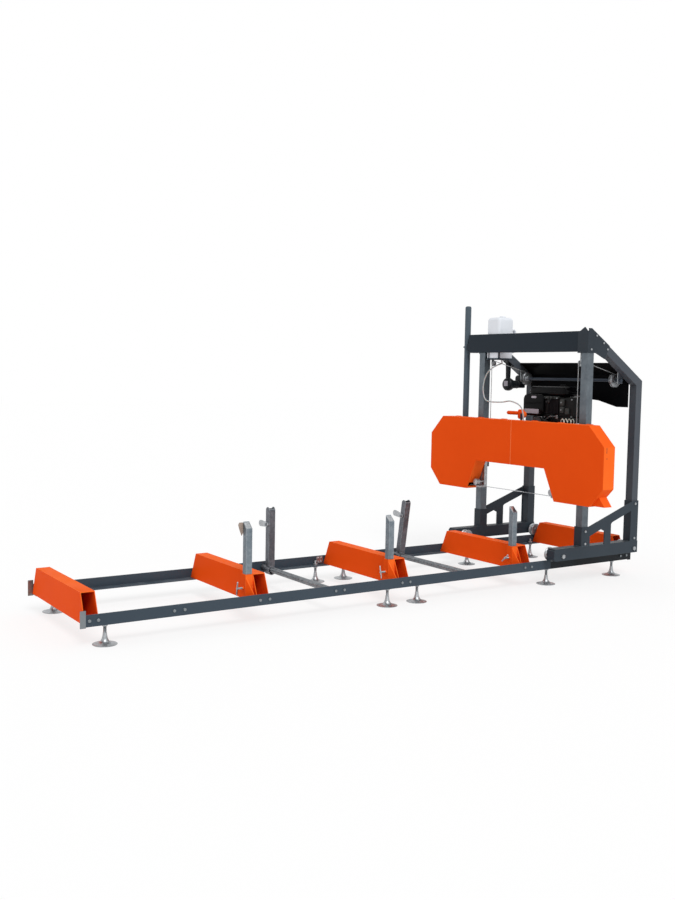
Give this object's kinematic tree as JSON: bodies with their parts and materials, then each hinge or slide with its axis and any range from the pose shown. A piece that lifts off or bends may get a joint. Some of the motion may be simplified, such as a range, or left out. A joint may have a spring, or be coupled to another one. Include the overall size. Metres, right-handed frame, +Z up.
{
  "type": "band sawmill",
  "caption": "Portable band sawmill: a rail track with log bunks, stops and clamps, and a wheeled carriage that carries a lifting saw head with a guarded band blade and engine.",
  "frame": {"origin": "middle of the track on the plane that the levelling feet stand on", "axes": "+X along the track towards the parked carriage, +Y towards the rail with the log clamps, +Z up"},
  "size_m": [4.2, 1.8, 1.996],
  "materials": {
    "rail_paint": "satin anthracite enamel",
    "frame_paint": "satin dark slate enamel",
    "orange_paint": "gloss orange powder coat",
    "zinc": "bright zinc plate",
    "tube_steel": "dull zinc plate",
    "hood_paint": "satin black enamel",
    "cast_iron": "machined on the rim, cast elsewhere",
    "blade_steel": "bright spring steel",
    "engine_black": "satin black covers",
    "tank_white": "translucent white",
    "belt_rubber": "matt black",
    "hose_clear": "milky clear"
  },
  "bodies": {
    "track": {"rail_near": "rail_paint", "rail_far": "rail_paint", "bunk_1": "orange_paint", "bunk_2": "orange_paint", "bunk_3": "orange_paint", "bunk_4": "orange_paint", "bunk_5": "orange_paint", "cross_tube_1": "tube_steel", "cross_tube_2": "tube_steel", "foot_near_1": "zinc", "foot_near_2": "zinc", "foot_near_3": "zinc", "foot_near_4": "zinc", "foot_near_5": "zinc", "foot_far_1": "zinc", "foot_far_2": "zinc", "foot_far_3": "zinc", "foot_far_4": "zinc", "foot_far_5": "zinc"},
    "stop_1": {"stop_post_1": "zinc"},
    "stop_screw_1": {"stop_screw_1": "zinc"},
    "stop_2": {"stop_post_2": "zinc"},
    "stop_screw_2": {"stop_screw_2": "zinc"},
    "stop_3": {"stop_post_3": "zinc"},
    "stop_screw_3": {"stop_screw_3": "zinc"},
    "clamp_1": {"clamp_post_1": "zinc"},
    "dog_1": {"clamp_dog_1": "zinc"},
    "clamp_2": {"clamp_post_2": "zinc"},
    "dog_2": {"clamp_dog_2": "zinc"},
    "carriage": {"side_frame_near": "rail_paint", "side_frame_far": "rail_paint", "front_post_near": "tube_steel", "front_post_far": "tube_steel", "rear_post_near": "frame_paint", "rear_post_far": "frame_paint", "top_beam": "frame_paint", "upright_tube": "rail_paint", "water_tank": "tank_white", "hood": "hood_paint", "winch": "hood_paint", "lift_cable_near": "zinc", "lift_cable_far": "zinc", "water_hose": "hose_clear"},
    "wheel_near_front": {"wheel_near_front": "zinc"},
    "wheel_near_rear": {"wheel_near_rear": "zinc"},
    "wheel_far_front": {"wheel_far_front": "zinc"},
    "wheel_far_rear": {"wheel_far_rear": "zinc"},
    "lift_shaft": {"lift_shaft": "zinc"},
    "head": {"head_frame": "frame_paint", "guard_back": "orange_paint", "blade": "blade_steel", "engine": "engine_black", "drive_belt": "belt_rubber"},
    "guard_cover_near": {"guard_cover_near": "orange_paint"},
    "guard_cover_far": {"guard_cover_far": "orange_paint"},
    "band_wheel_near": {"band_wheel_near": "cast_iron"},
    "band_wheel_far": {"band_wheel_far": "cast_iron"},
    "engine_pulley": {"engine_pulley": "cast_iron"},
    "blade_guide": {"blade_guide": "zinc"},
    "clutch_lever": {"clutch_lever": "orange_paint"}
  },
  "joints": [
    {"name": "carriage_roll", "type": "slide", "parent": "track", "child": "carriage", "axis": [1, 0, 0], "range_m": [-3.25, 0]},
    {"name": "wheel_near_front_spin", "type": "hinge", "parent": "carriage", "child": "wheel_near_front", "pos_m": [1.276, -0.45, 0.2133], "axis": [0, 1, 0], "continuous": true},
    {"name": "wheel_near_rear_spin", "type": "hinge", "parent": "carriage", "child": "wheel_near_rear", "pos_m": [2, -0.45, 0.2133], "axis": [0, 1, 0], "continuous": true},
    {"name": "wheel_far_front_spin", "type": "hinge", "parent": "carriage", "child": "wheel_far_front", "pos_m": [1.276, 0.45, 0.2133], "axis": [0, 1, 0], "continuous": true},
    {"name": "wheel_far_rear_spin", "type": "hinge", "parent": "carriage", "child": "wheel_far_rear", "pos_m": [2, 0.45, 0.2133], "axis": [0, 1, 0], "continuous": true},
    {"name": "head_lift", "type": "slide", "parent": "carriage", "child": "head", "axis": [0, 0, 1], "range_m": [-0.3, 0.3], "deforming": ["lift_cable_near", "lift_cable_far", "water_hose"]},
    {"name": "lift_shaft_turn", "type": "hinge", "parent": "carriage", "child": "lift_shaft", "pos_m": [1.862, 0, 1.43], "axis": [0, 1, 0], "range_deg": [-360, 360]},
    {"name": "cover_near_open", "type": "hinge", "parent": "head", "child": "guard_cover_near", "pos_m": [1.3717, -0.45, 1.127], "axis": [0, 1, 0], "range_deg": [0, 100]},
    {"name": "cover_far_open", "type": "hinge", "parent": "head", "child": "guard_cover_far", "pos_m": [1.3717, 0.45, 1.127], "axis": [0, 1, 0], "range_deg": [0, 100]},
    {"name": "band_wheel_near_spin", "type": "hinge", "parent": "head", "child": "band_wheel_near", "pos_m": [1.322, -0.628, 0.855], "axis": [1, 0, 0], "continuous": true},
    {"name": "band_wheel_far_spin", "type": "hinge", "parent": "head", "child": "band_wheel_far", "pos_m": [1.322, 0.628, 0.855], "axis": [1, 0, 0], "continuous": true},
    {"name": "engine_pulley_spin", "type": "hinge", "parent": "head", "child": "engine_pulley", "pos_m": [1.552, 0, 1.101], "axis": [1, 0, 0], "continuous": true},
    {"name": "blade_guide_slide", "type": "slide", "parent": "head", "child": "blade_guide", "axis": [0, 1, 0], "range_m": [-0.25, 0]},
    {"name": "clutch_lever_turn", "type": "hinge", "parent": "head", "child": "clutch_lever", "pos_m": [1.43, 0.03, 1.166], "axis": [1, 0, 0], "range_deg": [0, 75]},
    {"name": "stop_1_slide", "type": "slide", "parent": "track", "child": "stop_1", "axis": [0, 0, 1], "range_m": [-0.13, 0.045]},
    {"name": "stop_screw_1_turn", "type": "hinge", "parent": "track", "child": "stop_screw_1", "pos_m": [-1.1205, -0.358, 0.2], "axis": [1, 0, 0], "range_deg": [-180, 180]},
    {"name": "stop_2_slide", "type": "slide", "parent": "track", "child": "stop_2", "axis": [0, 0, 1], "range_m": [-0.11, 0.07]},
    {"name": "stop_screw_2_turn", "type": "hinge", "parent": "track", "child": "stop_screw_2", "pos_m": [-0.1035, -0.358, 0.2], "axis": [1, 0, 0], "range_deg": [-180, 180]},
    {"name": "stop_3_slide", "type": "slide", "parent": "track", "child": "stop_3", "axis": [0, 0, 1], "range_m": [-0.105, 0.075]},
    {"name": "stop_screw_3_turn", "type": "hinge", "parent": "track", "child": "stop_screw_3", "pos_m": [0.9495, -0.358, 0.2], "axis": [1, 0, 0], "range_deg": [-180, 180]},
    {"name": "clamp_1_slide", "type": "slide", "parent": "track", "child": "clamp_1", "axis": [0, 1, 0], "range_m": [-0.6, 0]},
    {"name": "dog_1_turn", "type": "hinge", "parent": "clamp_1", "child": "dog_1", "pos_m": [-0.548, 0.352, 0.437], "axis": [1, 0, 0], "range_deg": [0, 180]},
    {"name": "clamp_2_slide", "type": "slide", "parent": "track", "child": "clamp_2", "axis": [0, 1, 0], "range_m": [-0.6, 0]},
    {"name": "dog_2_turn", "type": "hinge", "parent": "clamp_2", "child": "dog_2", "pos_m": [0.535, 0.30465, 0.43327], "axis": [1, 0, 0], "range_deg": [0, 180]}
  ],
  "couplings": [
    {"joint": "wheel_near_front_spin", "follows": "carriage_roll", "rad_per_m": 25},
    {"joint": "wheel_near_rear_spin", "follows": "carriage_roll", "rad_per_m": 25},
    {"joint": "wheel_far_front_spin", "follows": "carriage_roll", "rad_per_m": 25},
    {"joint": "wheel_far_rear_spin", "follows": "carriage_roll", "rad_per_m": 25},
    {"joint": "lift_shaft_turn", "follows": "head_lift", "rad_per_m": 20},
    {"joint": "band_wheel_far_spin", "follows": "band_wheel_near_spin", "ratio": 1},
    {"joint": "engine_pulley_spin", "follows": "band_wheel_near_spin", "ratio": 1.5714}
  ]
}
